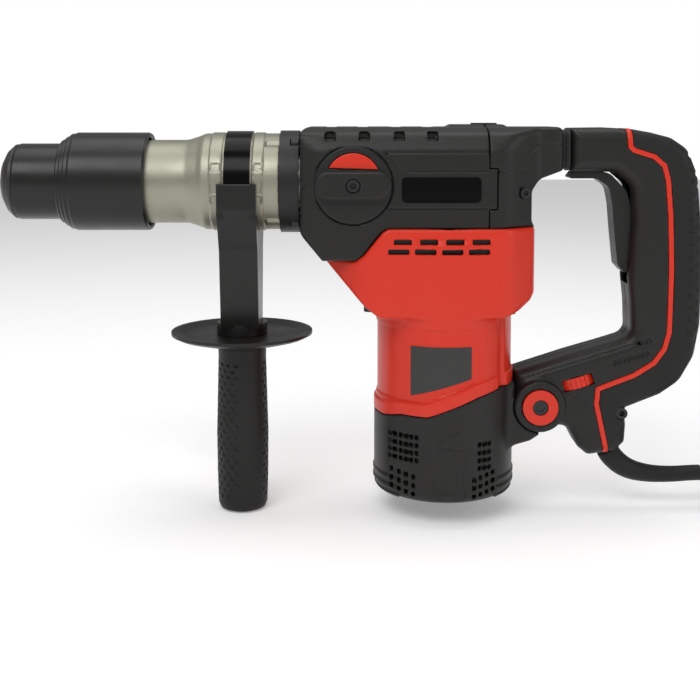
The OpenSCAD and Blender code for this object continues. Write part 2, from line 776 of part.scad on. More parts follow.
// the handle's outline moved inwards by d, with its corners rounded
function handle_line(d) = let (q = inset(handle_points, d))
  rounded([for (i = [0:len(q) - 1]) [q[i][0], q[i][1], max(0, handle_points[i][2] - d)]], 2);
trim_line = [[188.3, 270], [189.4, 253.6], [205.4, 247.8], [213, 240.8], [215.2, 231], [217.6, 205],
  [218.2, 160], [217.4, 126.8], [214.5, 115.6], [207.6, 106], [194, 97.6], [168.6, 88], [168.2, 77.6],
  [176.6, 38]];
trim_side = concat(trim_line, [[175, 20], [260, 20], [260, 280]]);
trim_inner = concat([for (i = [0:len(trim_line) - 1]) trim_line[i] + [i > 9 ? 1.6 : 3.4, i > 9 ? -3 : -0.8]],
  [[179, 20], [260, 20], [260, 280]]);

module handle_solid() {
  side(handle_line(2.6), -handle_w, handle_w);
  side(handle_line(0), -handle_w + 4, handle_w - 4);
}

module handle_hollow() {
  side(inset(handle_points, wall + 1), -handle_w + wall, handle_w - wall);
}

module handle_core() {
  difference() {
    union() {
      handle_solid();
      cross_bar(pivot_x, pivot_z, -boss_w, boss_w, boss_r);
    }
    handle_hollow();
    cross_bar(pivot_x, pivot_z, -9.8, 9.8, boss_r + 4);
    cross_bar(pivot_x, pivot_z, -far, far, 6.2);
    cross_bar(pivot_x, pivot_z, -far, -boss_w + 2, 12.4);
    cross_bar(pivot_x, pivot_z, boss_w - 2, far, 12.4);
    side([[105, 50], [132, 50], [132, 104], [112, 96]], -9.8, 9.8);
    side([[146, 228], [170, 228], [176, 160], [193, 160], [198, 168], [198, 225], [183, 241],
      [146, 241.5]], -9.3, 9.3);
    translate([145, 0, 252]) rotate([0, 90, 0]) cylinder(h = 16, r = 11.4);
    translate([dial[0], 0, dial[1]]) rotate([0, -arm_slope, 0]) {
      box([-10.6, 10.6], [-far, -11], [-4.1, 4.1]);
      translate([0, -2.4, -4.1]) cylinder(h = 8.2, r = 16.4);
    }
    both_sides() cross_bar(186.5, 70.7, -far, -14, 4.4);
    translate([178.6, 0, 38]) rotate([0, -20, 0]) cylinder(h = 14, r = 6.6);
  }
}

module handle_left() {
  color(dark) difference() {
    handle_core();
    box([100, 260], [0, far], [0, 300]);
    side(trim_side, -far, far);
  }
}

module handle_right() {
  color(dark) difference() {
    handle_core();
    box([100, 260], [-far, 0], [0, 300]);
    side(trim_side, -far, far);
  }
}

module soft_grip() {
  color(rubber) intersection() {
    handle_core();
    side(trim_inner, -far, far);
  }
}

module red_trim() {
  color(red) difference() {
    intersection() {
      handle_core();
      side(trim_side, -far, far);
    }
    side(trim_inner, -far, far);
  }
}

module trigger() {
  color(dark) difference() {
    side(rounded([[149.2, 232.4, 1], [168.3, 232.4, 6], [177, 226.6, 8], [179.4, 214, 10], [181, 196, 0],
      [183.6, 172.6, 2], [188, 167.6, 1], [193, 168, 3], [193.6, 208, 0], [189, 224, 8],
      [177, 236.6, 8], [152.4, 236.9, 1]]), -8.8, 8.8);
    cross_bar(189, 172, -10, 10, 2);
    side([[184, 180], [191, 178], [191.4, 206], [186, 220], [181.6, 214]], -6.4, 6.4);
  }
}

module switch_module() {
  color([0.1, 0.1, 0.12]) {
    box([200, 213], [-9, 9], [176, 226]);
    box([197.4, 200.1], [-4, 4], [196, 206]);
    cross_bar(189, 172, -9.25, 9.25, 1.95);
  }
}

module speed_dial() {
  color(red) translate([dial[0], -2.4, dial[1]]) rotate([0, -arm_slope, 0]) difference() {
    translate([0, 0, -3.7]) cylinder(h = 7.4, r = 16);
    translate([0, 0, -4]) cylinder(h = 8, r = 3);
    for (i = [0:29]) {
      rotate([0, 0, i * 12]) translate([15.4, -0.5, -4]) cube([2, 1, 8]);
    }
  }
}

module pivot_caps() {
  color(red) both_sides() difference() {
    cross_bar(pivot_x, pivot_z, -boss_w - 1.4, -boss_w + 1.95, 12);
    cross_bar(pivot_x, pivot_z, -boss_w - 3, -boss_w + 0.6, 5.4);
  }
}

module pivot_pin() {
  color(steel) {
    cross_bar(pivot_x, pivot_z, -boss_w + 2, boss_w - 2, 4.95);
    both_sides() cross_bar(pivot_x, pivot_z, -boss_w + 2, -10.4, 6.1);
  }
}

module bellows() {
  color(rubber) difference() {
    for (i = [0:1]) {
      front(rounded([[-16.4 - i, 239, 5], [16.4 + i, 239, 5], [16.4 + i, 265.6, 5], [-16.4 - i, 265.6, 5]]),
        143.4 + i * 2.6, 146 + i * 2.6);
    }
    translate([140, 0, 252]) rotate([0, 90, 0]) cylinder(h = 12, r = 10.4);
  }
}

module damper_spring() {
  color(steel) translate([140.6, 0, 252]) coil_spring(18.4, 8.4, 1.2, 4);
}

module handle_screws() {
  color(steel) both_sides() translate([186.5, -14, 70.7]) rotate([90, 0, 0]) socket_screw(4, 2.4);
}

// ---- cord ----
boot_path = [[179.6, 0, 41], [183.4, 0, 36.6], [189.4, 0, 30.8], [196.6, 0, 26.8], [204.6, 0, 24.6],
  [214, 0, 23.4], [226, 0, 23.2], [238, 0, 23.9], [246, 0, 24.2]];
lead_path = [[246, 0, 24.2], [256, -0.6, 23.4], [267, -3.4, 19.6], [278, -10, 13.6], [289, -22, 8],
  [300, -40, 5], [314, -57, cord_r + 0.1], [332, -66, cord_r + 0.1]];
tail_path = [[332, -62, 23], [362, -61, 19], [391, -50, 13], [413, -32, 12], [427, -8, 15],
  [430, 17, 17.5]];
boot_r = [for (i = [0:len(boot_path) * 4 - 4]) 7.6 - 1.6 * i / 32 + (i % 4 == 2 && i > 8 ? -0.7 : 0)];

module cord_boot() {
  color(rubber) swept(smooth(boot_path, 4), boot_r, 12, [0, 1, 0]);
}

module cord_lead() {
  p = smooth(lead_path, 4);
  color(rubber) swept(p, [for (q = p) cord_r], 12, [0, 0, 1]);
}

module cord_coil() {
  color(rubber) translate([coil_x, 0, 0]) rotate_extrude($fn = 64) polygon(rounded([[coil_r - 14, 0, 4.4],
    [coil_r + 14, 0, 4.4], [coil_r + 14, 28, 4.4], [coil_r - 14, 28, 4.4]]));
}

module cord_tail() {
  p = smooth(tail_path, 4);
  color(rubber) swept(p, [for (q = p) cord_r], 12, [0, 0, 1]);
}

// the plug lies on its side with its pins towards +Y
module plug() {
  color(rubber) translate(tail_path[5]) rotate([-90, 0, 0]) {
    translate([0, 0, 0.1]) cylinder(h = 14, r = 8);
    difference() {
      translate([0, 0, 13.9]) cylinder(h = 30, r = 17.4);
      translate([0, 0, 40]) cylinder(h = 8, r = 15);
    }
    for (s = [-1, 1]) {
      translate([9.5 * s, 0, 39.9]) cylinder(h = 19, r = 2.4);
    }
  }
}

module cord_tie() {
  color(dark) difference() {
    box([coil_x - 5, coil_x + 5], [coil_r - 15.5, coil_r + 15.5], [0, 29.5]);
    translate([coil_x, 0, 0]) rotate_extrude($fn = 64) polygon([[coil_r - 14.1, -1],
      [coil_r + 14.1, -1], [coil_r + 14.1, 28.1], [coil_r - 14.1, 28.1]]);
  }
}

dust_cap();
chuck_front_sleeve();
lock_sleeve();
spindle();
locking_rollers();
sleeve_spring();
spindle_gear();
spindle_bearing();
gear_barrel();
front_ring();
housing_screws();
clamp_band();
handle_stem();
guard_disc();
aux_grip();
clamp_bolt();
gear_case();
rear_cover();
grease_cap();
selector_knob();
selector_insert();
selector_screw();
side_badge();
crank_gear();
gear_bearings();
connecting_rod();
piston();
striker();
impact_bolt();
intermediate_gear();
motor_housing();
motor_screws();
rating_plate();
stator();
armature();
motor_shaft();
commutator();
fan();
motor_bearings();
brush_holders();
carbon_brushes();
end_cap();
handle_left();
handle_right();
soft_grip();
red_trim();
trigger();
switch_module();
speed_dial();
pivot_caps();
pivot_pin();
bellows();
damper_spring();
handle_screws();
cord_boot();
cord_lead();
cord_coil();
cord_tail();
plug();
cord_tie();
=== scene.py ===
# %% [markdown]
# # Looks of the rotary hammer
# The CAD frame gives every piece its place. Each housing shell is modelled again as a smooth solid
# with soft edges, the turned and metal parts keep their CAD mesh, and everything gets a material.

# %% Load the frame
import json
import math

import bpy
import numpy as np
import openvdb
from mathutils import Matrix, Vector

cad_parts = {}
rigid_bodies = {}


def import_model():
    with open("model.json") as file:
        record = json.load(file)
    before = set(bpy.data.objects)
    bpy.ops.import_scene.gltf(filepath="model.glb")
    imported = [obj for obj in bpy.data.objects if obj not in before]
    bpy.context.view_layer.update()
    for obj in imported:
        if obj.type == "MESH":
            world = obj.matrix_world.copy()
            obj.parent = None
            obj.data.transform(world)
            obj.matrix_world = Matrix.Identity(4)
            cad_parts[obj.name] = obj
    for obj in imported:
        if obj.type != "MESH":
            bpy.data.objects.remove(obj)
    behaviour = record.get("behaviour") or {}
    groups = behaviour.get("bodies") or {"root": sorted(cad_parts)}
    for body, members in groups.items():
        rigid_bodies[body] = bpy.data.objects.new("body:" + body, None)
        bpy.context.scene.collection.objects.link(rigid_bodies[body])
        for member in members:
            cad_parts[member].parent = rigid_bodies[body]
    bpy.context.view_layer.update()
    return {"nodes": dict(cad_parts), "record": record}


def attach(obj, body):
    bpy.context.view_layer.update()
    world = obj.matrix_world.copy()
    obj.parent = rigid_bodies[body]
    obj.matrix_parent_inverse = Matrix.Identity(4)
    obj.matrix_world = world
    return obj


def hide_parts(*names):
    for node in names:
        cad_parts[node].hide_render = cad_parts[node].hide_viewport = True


for o in list(bpy.data.objects):
    bpy.data.objects.remove(o)
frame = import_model()
NODES = frame["nodes"]

# %% [markdown]
# ## Camera
# Level with the top of the tool, looking at its left side and slightly down. The lens is shifted, so
# that uprights stay nearly upright and the whole tool fits below the camera's height.

# %% Camera
cam = bpy.data.objects.new("camera", bpy.data.cameras.new("camera"))
bpy.context.scene.collection.objects.link(cam)
bpy.context.scene.camera = cam
PITCH = 4  # degrees below level
cam.location = (-0.0006, -0.770, 0.2757)
cam.rotation_euler = (math.radians(90 - PITCH), 0, 0)
cam.data.sensor_width = 36
cam.data.lens = 57.24
cam.data.shift_x = 0.0
cam.data.shift_y = -0.2243
cam.data.clip_end = 20

# %% [markdown]
# ## Cord
# One rubber cord leaves the boot, comes down to the floor, makes a neat coil and ends in the plug.
# In the coil each turn stays at one radius and moves over by one cord width at the same place.

# %% Cord
D = 9.0  # mm, the cord's thickness
STEP = 9.3  # mm from one turn to the next
COIL = (332.0, 0.0)
COIL_R = 71.6


def spline(points, n):
    """A smooth line through the points."""
    out = []
    for i in range(len(points) - 1):
        a = points[max(i - 1, 0)]
        b, c = points[i], points[i + 1]
        d = points[min(i + 2, len(points) - 1)]
        for k in range(n):
            t = k / n
            out.append(tuple(
                0.5 * (2 * q + (r - p) * t + (2 * p - 5 * q + 4 * r - s) * t * t
                       + (3 * q - p - 3 * r + s) * t ** 3)
                for p, q, r, s in zip(a, b, c, d)))
    out.append(tuple(points[-1]))
    return out


def ease(t):
    t = min(max(t, 0), 1)
    return t * t * (3 - 2 * t)


def coil_point(t):
    """A point of the coil after t turns."""
    moves = sum(s * ease((t - at) / 0.15) for at, s in
                ((0.3, -1), (1.3, -1), (2.3, -1), (4.3, 1), (5.3, 1)))
    lifts = ease((t - 3.15) / 0.15) + ease((t - 6.15) / 0.15)
    r = COIL_R + STEP * moves
    a = math.radians(-90 + 360 * t)
    return (COIL[0] + r * math.cos(a), COIL[1] + r * math.sin(a), 4.6 + STEP * lifts)


LEAD = [(246, 0, 24.2), (256, -0.6, 23.4), (267, -3.6, 19.6), (279, -11.5, 13.6), (291, -26, 8),
        (302, -44, 5), (315, -62, 4.6), (332, -71.6, 4.6)]
TAIL = [(332, -62.3, 23.2), (362, -61, 19), (391, -50, 13), (413, -32, 12), (427, -8, 15),
        (430, 17, 17.5)]
turns = [coil_point(0.02 + 6.97 * i / 640) for i in range(641)]
route = spline(LEAD, 10) + turns[1:] + spline([turns[-1]] + TAIL[1:], 10)[1:]
route_m = [[c / 1000 for c in p] for p in route]


def curve(name, points, radii):
    """A round tube along points in metres, with a radius for each point."""
    data = bpy.data.curves.new(name, "CURVE")
    data.dimensions = "3D"
    line = data.splines.new("POLY")
    line.points.add(len(points) - 1)
    for i, p in enumerate(points):
        line.points[i].co = (*p, 1)
        line.points[i].radius = radii[i]
    data.bevel_depth = 1
    data.bevel_resolution = 5
    data.use_fill_caps = True
    line.use_smooth = True
    o = bpy.data.objects.new(name, data)
    bpy.context.scene.collection.objects.link(o)
    return o


cord = curve("cord", route_m, [D / 2000] * len(route_m))
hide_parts("cord_lead", "cord_coil", "cord_tail")
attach(cord, "handle")

# %% [markdown]
# ## Materials
# Every finish is made from noise and simple maths in object space, so it has no images.


# %% Material tools
def shader(name, color, rough, metal=0.0, grain=0.0, grain_scale=1500.0, tone=0.0, coat=0.0,
           spec=0.5):
    """A surface with fine grain, and a slow change of tone and gloss."""
    m = bpy.data.materials.new(name)
    m.use_nodes = True
    tree = m.node_tree
    bsdf = tree.nodes["Principled BSDF"]
    bsdf.inputs["Base Color"].default_value = (*color, 1)
    bsdf.inputs["Roughness"].default_value = rough
    bsdf.inputs["Metallic"].default_value = metal
    bsdf.inputs["Coat Weight"].default_value = coat
    bsdf.inputs["Specular IOR Level"].default_value = spec
    bsdf.inputs["Coat Roughness"].default_value = 0.25
    where = tree.nodes.new("ShaderNodeTexCoord")
    if grain:
        noise = tree.nodes.new("ShaderNodeTexNoise")
        noise.inputs["Scale"].default_value = grain_scale
        noise.inputs["Detail"].default_value = 2
        bump = tree.nodes.new("ShaderNodeBump")
        bump.inputs["Strength"].default_value = grain
        bump.inputs["Distance"].default_value = 0.0002
        tree.links.new(where.outputs["Object"], noise.inputs["Vector"])
        tree.links.new(noise.outputs["Fac"], bump.inputs["Height"])
        tree.links.new(bump.outputs["Normal"], bsdf.inputs["Normal"])
    if tone:
        slow = tree.nodes.new("ShaderNodeTexNoise")
        slow.inputs["Scale"].default_value = 38
        slow.inputs["Detail"].default_value = 5
        ramp = tree.nodes.new("ShaderNodeMapRange")
        ramp.inputs["From Min"].default_value = 0.3
        ramp.inputs["From Max"].default_value = 0.7
        ramp.inputs["To Min"].default_value = rough - tone
        ramp.inputs["To Max"].default_value = rough + tone
        tree.links.new(where.outputs["Object"], slow.inputs["Vector"])
        tree.links.new(slow.outputs["Fac"], ramp.inputs["Value"])
        tree.links.new(ramp.outputs["Result"], bsdf.inputs["Roughness"])
    return m


black = shader("black_plastic", (0.0105, 0.0098, 0.009), 0.42, grain=0.55, grain_scale=1400,
               tone=0.05, spec=0.33)
satin = shader("satin_black", (0.009, 0.0085, 0.008), 0.33, grain=0.15, grain_scale=900, tone=0.05,
               spec=0.33)
gloss = shader("gloss_black", (0.001, 0.001, 0.001), 0.2, tone=0.03, spec=0.12)
red = shader("red_plastic", (0.60, 0.027, 0.010), 0.36, grain=0.1, grain_scale=900, tone=0.03,
             coat=0.05, spec=0.3)
rubber = shader("rubber", (0.0095, 0.009, 0.0085), 0.5, grain=0.5, grain_scale=1100, tone=0.06,
                spec=0.3)
grey_rubber = shader("grey_rubber", (0.02, 0.019, 0.018), 0.42, grain=0.3, tone=0.05, spec=0.35)
cast = shader("cast_metal", (0.30, 0.295, 0.235), 0.45, metal=0.8, grain=0.5, grain_scale=700,
              tone=0.07)
steel = shader("steel", (0.42, 0.42, 0.41), 0.3, metal=1.0, grain=0.1, tone=0.05)
dark_steel = shader("dark_steel", (0.03, 0.03, 0.032), 0.38, metal=0.6, grain=0.1, tone=0.05)
plate_film = shader("plate_film", (0.03, 0.03, 0.029), 0.4, tone=0.04, spec=0.35)
stack = shader("laminations", (0.2, 0.2, 0.2), 0.45, metal=0.9, grain=0.3, tone=0.05)
copper = shader("copper", (0.7, 0.32, 0.14), 0.35, metal=1.0, tone=0.05)
brass = shader("brass", (0.7, 0.5, 0.2), 0.35, metal=1.0, tone=0.05)
carbon = shader("carbon", (0.02, 0.02, 0.02), 0.7, grain=0.2)

FINISH = {
    "black_plastic": black, "smooth_black": satin, "red_plastic": red, "soft_rubber": rubber,
    "cast_alu": cast, "steel": steel, "dark_steel": dark_steel, "plate": plate_film,
    "laminations": stack, "copper": copper, "brass": brass, "cord_rubber": rubber}
slot_of = {s["node"]: s["material_slot"] for s in frame["record"]["subparts"]}


def paint(o, m):
    o.data.materials.clear()
    o.data.materials.append(m)
    return o


for name, o in NODES.items():
    paint(o, FINISH[slot_of[name]])
paint(NODES["dust_cap"], grey_rubber)
paint(NODES["side_badge"], gloss)
paint(NODES["carbon_brushes"], carbon)
paint(NODES["handle_stem"], satin)
paint(NODES["clamp_band"], gloss)
paint(NODES["selector_screw"], dark_steel)
paint(NODES["handle_screws"], dark_steel)
paint(NODES["housing_screws"], dark_steel)
paint(cord, rubber)
print("materials", len(bpy.data.materials))

# %% [markdown]
# ## Solid modelling tools
# A shape is a function of x, y and z in millimetres: negative inside, positive outside.
# Shapes are joined with soft corners, turned into a mesh, and every vertex is then pulled onto
# the true surface.


# %% Shape functions
def soft_max(a, b, k):
    return np.maximum(a, b) + np.maximum(k - np.abs(a - b), 0) ** 2 / (4 * k)


def soft_min(a, b, k):
    return -soft_max(-a, -b, k)


def outline(points):
    """Distance to a closed outline, negative inside."""
    pts = [(p[0], p[1]) for p in points]

    def f(u, v):
        best, side = None, None
        for (ax, ay), (bx, by) in zip(pts, pts[1:] + pts[:1]):
            ex, ey = bx - ax, by - ay
            wx, wy = u - ax, v - ay
            t = np.clip((wx * ex + wy * ey) / (ex * ex + ey * ey), 0, 1)
            d = (wx - ex * t) ** 2 + (wy - ey * t) ** 2
            up, down = (v >= ay) & (v < by), (v < ay) & (v >= by)
            left = ex * wy > ey * wx
            s = np.where((up & left) | (down & ~left), -1.0, 1.0)
            best = d if best is None else np.minimum(best, d)
            side = s if side is None else side * s
        return np.sqrt(best) * side
    return f


def rounded(points, n=5):
    """The outline with each corner rounded; a point is x, y and radius."""
    out = []
    for i, p in enumerate(points):
        r = p[2] if len(p) > 2 else 0
        q = np.array(p[:2], float)
        if not r:
            out.append(tuple(q))
            continue
        a = np.array(points[i - 1][:2], float) - q
        b = np.array(points[(i + 1) % len(points)][:2], float) - q
        a, b = a / np.linalg.norm(a), b / np.linalg.norm(b)
        half = math.acos(max(-1, min(1, float(a @ b)))) / 2
        c = q + (a + b) / np.linalg.norm(a + b) * r / math.sin(half)
        s, e = q + a * r / math.tan(half) - c, q + b * r / math.tan(half) - c
        a0 = math.atan2(s[1], s[0])
        da = (math.atan2(e[1], e[0]) - a0 + 3 * math.pi) % (2 * math.pi) - math.pi
        out += [(c[0] + r * math.cos(a0 + da * k / n), c[1] + r * math.sin(a0 + da * k / n))
                for k in range(n + 1)]
    return out


def line_distance(points):
    """Distance to an open line."""
    def f(u, v):
        best = None
        for (ax, ay), (bx, by) in zip(points, points[1:]):
            ex, ey = bx - ax, by - ay
            t = np.clip(((u - ax) * ex + (v - ay) * ey) / (ex * ex + ey * ey), 0, 1)
            d = (u - ax - ex * t) ** 2 + (v - ay - ey * t) ** 2
            best = d if best is None else np.minimum(best, d)
        return np.sqrt(best)
    return f


def slab(d, y, half, r):
    """An outline made half wide on each side of y = 0, with edges of radius r."""
    a, b = d + r, np.abs(y) - half + r
    return np.minimum(np.maximum(a, b), 0) + np.hypot(np.maximum(a, 0), np.maximum(b, 0)) - r


def box_shape(x, y, z, centre, half, r=0.4):
    q = [np.abs(c - m) - h + r for c, m, h in zip((x, y, z), centre, half)]
    out = np.sqrt(sum(np.maximum(a, 0) ** 2 for a in q))
    return out + np.minimum(np.maximum(np.maximum(q[0], q[1]), q[2]), 0) - r


def groove(body, mark, width, depth):
    """Cuts the surface of body where mark is under half the width."""
    return soft_max(body, -np.maximum(mark - width / 2, -(body + depth)), 0.35)


def mesh_of(name, shape, low, high, cell, body, m, *stands_for, slot_name=None):
    """The mesh of a shape function inside a box."""
    low, high = np.array(low, float), np.array(high, float)
    count = np.ceil((high - low) / cell).astype(int) + 1
    axes = [low[i] + cell * np.arange(count[i]) for i in range(3)]
    x, y, z = axes[0][:, None, None], axes[1][None, :, None], axes[2][None, None, :]
    field = np.broadcast_to(shape(x, y, z), count).astype(np.float32)
    field = np.ascontiguousarray(np.clip(field, -3 * cell, 3 * cell))
    grid = openvdb.FloatGrid(3 * cell)
    grid.copyFromArray(field)
    points, quads = grid.convertToQuads(0.0)
    p = low + points.astype(float) * cell
    for _ in range(2):
        f0 = shape(p[:, 0], p[:, 1], p[:, 2])
        e = 0.12
        g = np.stack([shape(*(p + axis * e).T) - shape(*(p - axis * e).T)
                      for axis in np.eye(3)], 1) / (2 * e)
        n2 = np.maximum((g * g).sum(1), 0.25)
        step = (f0 / n2)[:, None] * g
        p = p - np.clip(step, -cell, cell)
    data = bpy.data.meshes.new(name)
    data.vertices.add(len(p))
    data.vertices.foreach_set("co", (p / 1000).astype(np.float32).ravel())
    q = quads.astype(np.int32)
    a, b, c = p[q[:, 0]], p[q[:, 1]], p[q[:, 2]]
    face = np.cross(b - a, c - a)
    mid = (a + c) / 2
    out = face / np.maximum(np.linalg.norm(face, axis=1)[:, None], 1e-9) * 0.3
    if (shape(*(mid + out).T) < shape(*(mid - out).T)).mean() > 0.5:
        q = q[:, ::-1]
    data.loops.add(q.size)
    data.loops.foreach_set("vertex_index", q.ravel())
    data.polygons.add(len(q))
    data.polygons.foreach_set("loop_start", np.arange(0, q.size, 4, dtype=np.int32))
    data.polygons.foreach_set("use_smooth", np.ones(len(q), bool))
    data.update(calc_edges=True)
    data.validate()
    data.set_sharp_from_angle(angle=math.radians(38))
    o = bpy.data.objects.new(name, data)
    bpy.context.scene.collection.objects.link(o)
    paint(o, m)
    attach(o, body)
    if stands_for:
        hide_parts(*stands_for)
    print(name, len(q), "faces")
    return o


# %% [markdown]
# ## Gear housing, rear cover, motor housing and end cap
# The housings share one body shape. Each piece is that body, cut along the seams.

# %% Housing outlines
BORE_Z, CASE_W, TOP = 230.0, 43.3, 268.2
MOTOR_X, MOTOR_R, CAP_R, CAP_Z = 64.6, 46.9, 48.2, 16.8
SEL = (1.4, 229.7)
case_split = [(-19, 179.4), (3.4, 179.4), (8.5, 183), (20.5, 198), (24.4, 200), (160, 200)]
case_side = outline([(-34.9, 197.6), (-34.9, 265), (-28, TOP), (160, TOP), (160, 200)]
                    + case_split[-2::-1])
case_section = outline(rounded([
    (-CASE_W, 150, 0), (CASE_W, 150, 0), (CASE_W, 252, 10), (35, 264, 10), (22, TOP, 22),
    (-22, TOP, 22), (-35, 264, 10), (-CASE_W, 252, 10)], 6))
case_plan = outline(rounded([
    (-35, -36.4, 1), (-20, -CASE_W, 18), (101, -CASE_W, 22), (126, -25, 12), (143.2, -22, 4),
    (143.2, 22, 4), (126, 25, 12), (101, CASE_W, 22), (-20, CASE_W, 18), (-35, 36.4, 1)], 16))
rear_line = outline(rounded([
    (91, 150, 0), (91, 213.6, 0), (96.5, 213.6, 0), (96.5, 240.7, 0), (91, 240.7, 0),
    (91, 290, 0), (160, 290, 0), (160, 238.4, 0), (143.2, 238.4, 0), (127, 232.6, 9),
    (121.3, 225, 6), (121.3, 205, 4), (124.4, 200, 0), (124.4, 150, 0)]))
flange_side = outline([(-19, 179.6), (3.4, 179.6), (8.5, 183.2), (20.5, 198.2), (24.4, 200.9),
                       (160, 200.9), (160, 141), (20, 141), (9.3, 149.1)])
flange_rear = outline(rounded([(-40, 230, 0), (125, 230, 0), (124.8, 156.5, 3), (121, 151.5, 5),
                               (112, 145.5, 2), (100, 140.5, 2), (-40, 140.5, 0)]))
flange_plan = outline(rounded([
    (-19.5, -20, 8), (8, -45.5, 22), (104, -45.5, 18), (125.4, -26, 16), (125.4, 26, 16),
    (104, 45.5, 18), (8, 45.5, 22), (-19.5, 20, 8)], 6))
foot_line = outline([(-60, 72.2), (22, 72.2), (34, 75.8), (51, 75.8), (84, 88.5), (100, 92.6),
                     (180, 92.6), (180, 260), (-60, 260)])
panel_lines = [
    line_distance([(23, 251), (91, 251)]), line_distance([(22.8, 251), (34.4, 237.6)]),
    line_distance([(36.5, 238.4), (90, 238.4)]), line_distance([(24, 214.6), (91, 214.6)])]
badge_bed = outline(rounded([(33.8, 218.7, 2.4), (85.3, 218.7, 2.4), (85.3, 234.9, 2.4),
                             (33.8, 234.9, 2.4)]))
arrow = outline([(-32.6, 232.4), (-32.6, 227), (-28.4, 229.7)])
WALL = 3.0
SCREW_ANGLES = (38, 142, 218, 322)


def case_body(x, y, z):
    d = soft_max(case_side(x, z), case_section(y, z), 1.5)
    d = soft_max(d, case_plan(x, y), 5)
    return soft_min(d, box_shape(x, y, z, (86, 0, 265), (19, 13, 4.3), 2.5), 3)


def gear_case(x, y, z):
    d = body = case_body(x, y, z)
    rear = rear_line(x, z)
    d = soft_max(d, 0.25 - rear, 0.9)
    for line in panel_lines:
        d = groove(d, line(x, z), 1.0, 0.55)
    left = np.where(y < 0, 0.0, 50.0)
    d = groove(d, badge_bed(x, z) + 0.4 + left, 0.8, 0.9)
    d = groove(d, arrow(x, z) + 0.4 + left, 0.8, 0.5)
    recess = np.hypot(x - SEL[0], z - SEL[1])
    d = soft_max(d, -np.maximum(recess - 26.4, y + CASE_W - 2.7), 0.6)
    for vx in (-13.6, 8.7, 31.8, 54):
        hole = box_shape(x, np.abs(y), z, (vx, 38, 261.2), (3.5, 8, 2.9), 0.6)
        d = soft_max(d, -np.maximum(hole, -(body + 4.5)), 0.4)
        d = soft_max(d, -box_shape(x, y, z, (vx, 0, TOP + 0.2), (3.5, 30, 0.9), 0.4), 0.4)
    for a in SCREW_ANGLES:
        sy, sz = -34.2 * math.sin(math.radians(a)), BORE_Z + 34.2 * math.cos(math.radians(a))
        d = soft_max(d, -np.maximum(np.hypot(y - sy, z - sz) - 3.8, x + 30), 0.4)
    d = soft_max(d, -np.maximum(body + WALL, z - 256.5), 0.4)
    return np.maximum(d, -np.maximum(np.hypot(y, z - BORE_Z) - 31.3, x + 20))


def rear_cover(x, y, z):
    d = case_body(x, y, z)
    rear = rear_line(x, z)
    d = soft_max(d, rear + 0.25, 1.2)
    for line in (line_distance([(96.6, 251), (119, 251), (126, 256), (143, 256)]),
                 line_distance([(97, 238.4), (118, 238.4)])):
        d = groove(d, line(x, z), 1.0, 0.5)
    hole = np.maximum(np.hypot(x - 115.7, z - 224.2) - 4.2, 33.6 - np.abs(y))
    d = soft_max(d, -hole, 0.5)
    d = soft_max(d, -(np.maximum(case_body(x, y, z), rear) + WALL), 0.4)
    return np.maximum(d, -np.maximum(np.hypot(y, z - 252) - 12, 138 - x))


mesh_of("gear_case_shell", gear_case, (-38, -47, 176), (100, 47, 272), 1.0,
        "housing", black, "gear_case", slot_name="black_plastic")
mesh_of("rear_cover_shell", rear_cover, (88, -47, 197), (146, 47, 272), 0.9,
        "housing", black, "rear_cover", slot_name="black_plastic")

# %% [markdown]
# The motor housing is a tube that grows into a wide flange, with a raised bead at its foot.

# %% Motor housing
plate_bed = outline([(38.9, 88.2), (80.7, 100.8), (80.7, 123.7), (38.9, 123.7)])
flat_line = outline(rounded([(8, 134, 0), (86, 134, 4), (86, 99, 3), (47, 85, 4), (8, 85, 0)]))
vents_top = [(34 + 17.2 * i, 192.5) for i in range(4)]
vents_low = [(31.4 + 17.6 * i, 186.1) for i in range(4)]
CORNER_SCREWS = ((13.6, 150.6), (105.2, 149))


def motor_body(x, y, z):
    tube = np.hypot(x - MOTOR_X, y) - MOTOR_R
    tube = soft_max(tube, z - 190, 2)
    block = soft_max(soft_max(flange_side(x, z), flange_plan(x, y), 2.4), flange_rear(x, z), 4)
    return soft_min(tube, block, 6)


def motor_housing(x, y, z):
    d = motor_body(x, y, z)
    for px, pz in CORNER_SCREWS:
        post = soft_max(np.hypot(x - px, np.abs(y) - 32) - 7.3, np.abs(z - pz - 8) - 8, 1.5)
        d = soft_min(d, post, 2)
    bead = np.maximum(np.hypot(x - MOTOR_X, y) - 48.4, np.abs(foot_line(x, z) + 4.4) - 4.4)
    d = soft_min(d, bead, 1)
    d = soft_max(d, foot_line(x, z) + 0.2, 0.8)
    for px, pz in CORNER_SCREWS:
        seat = np.maximum(np.hypot(x - px, np.abs(y) - 32) - 6.2, z - pz)
        d = soft_max(d, -seat, 0.5)
    for vx, vz in vents_top:
        slot = box_shape(x, np.abs(y), z, (vx, 46, vz), (5.9, 8, 1.7), 0.5)
        d = soft_max(d, -slot, 0.4)
    for vx, vz in vents_low:
        slot = box_shape(x, np.abs(y), z, (vx, 46, vz), (7, 8, 1.7), 0.5)
        d = soft_max(d, -slot, 0.4)
    field = np.maximum(flat_line(x, z), MOTOR_R - 0.9 - np.hypot(x - MOTOR_X, y))
    d = soft_max(d, -field, 0.5)
    inner = motor_body(x, y, z) + WALL
    inner = soft_min(inner, np.hypot(x - MOTOR_X, y) - MOTOR_R + WALL, 0.5)
    return soft_max(d, -inner, 0.4)


mesh_of("motor_housing_shell", motor_housing, (-22, -50, 70), (128, 50, 202), 1.1,
        "housing", red, "motor_housing", slot_name="red_plastic")

# %% [markdown]
# The end cap has two blocks of small air holes, three ribs, a raised panel and the pivot arm.

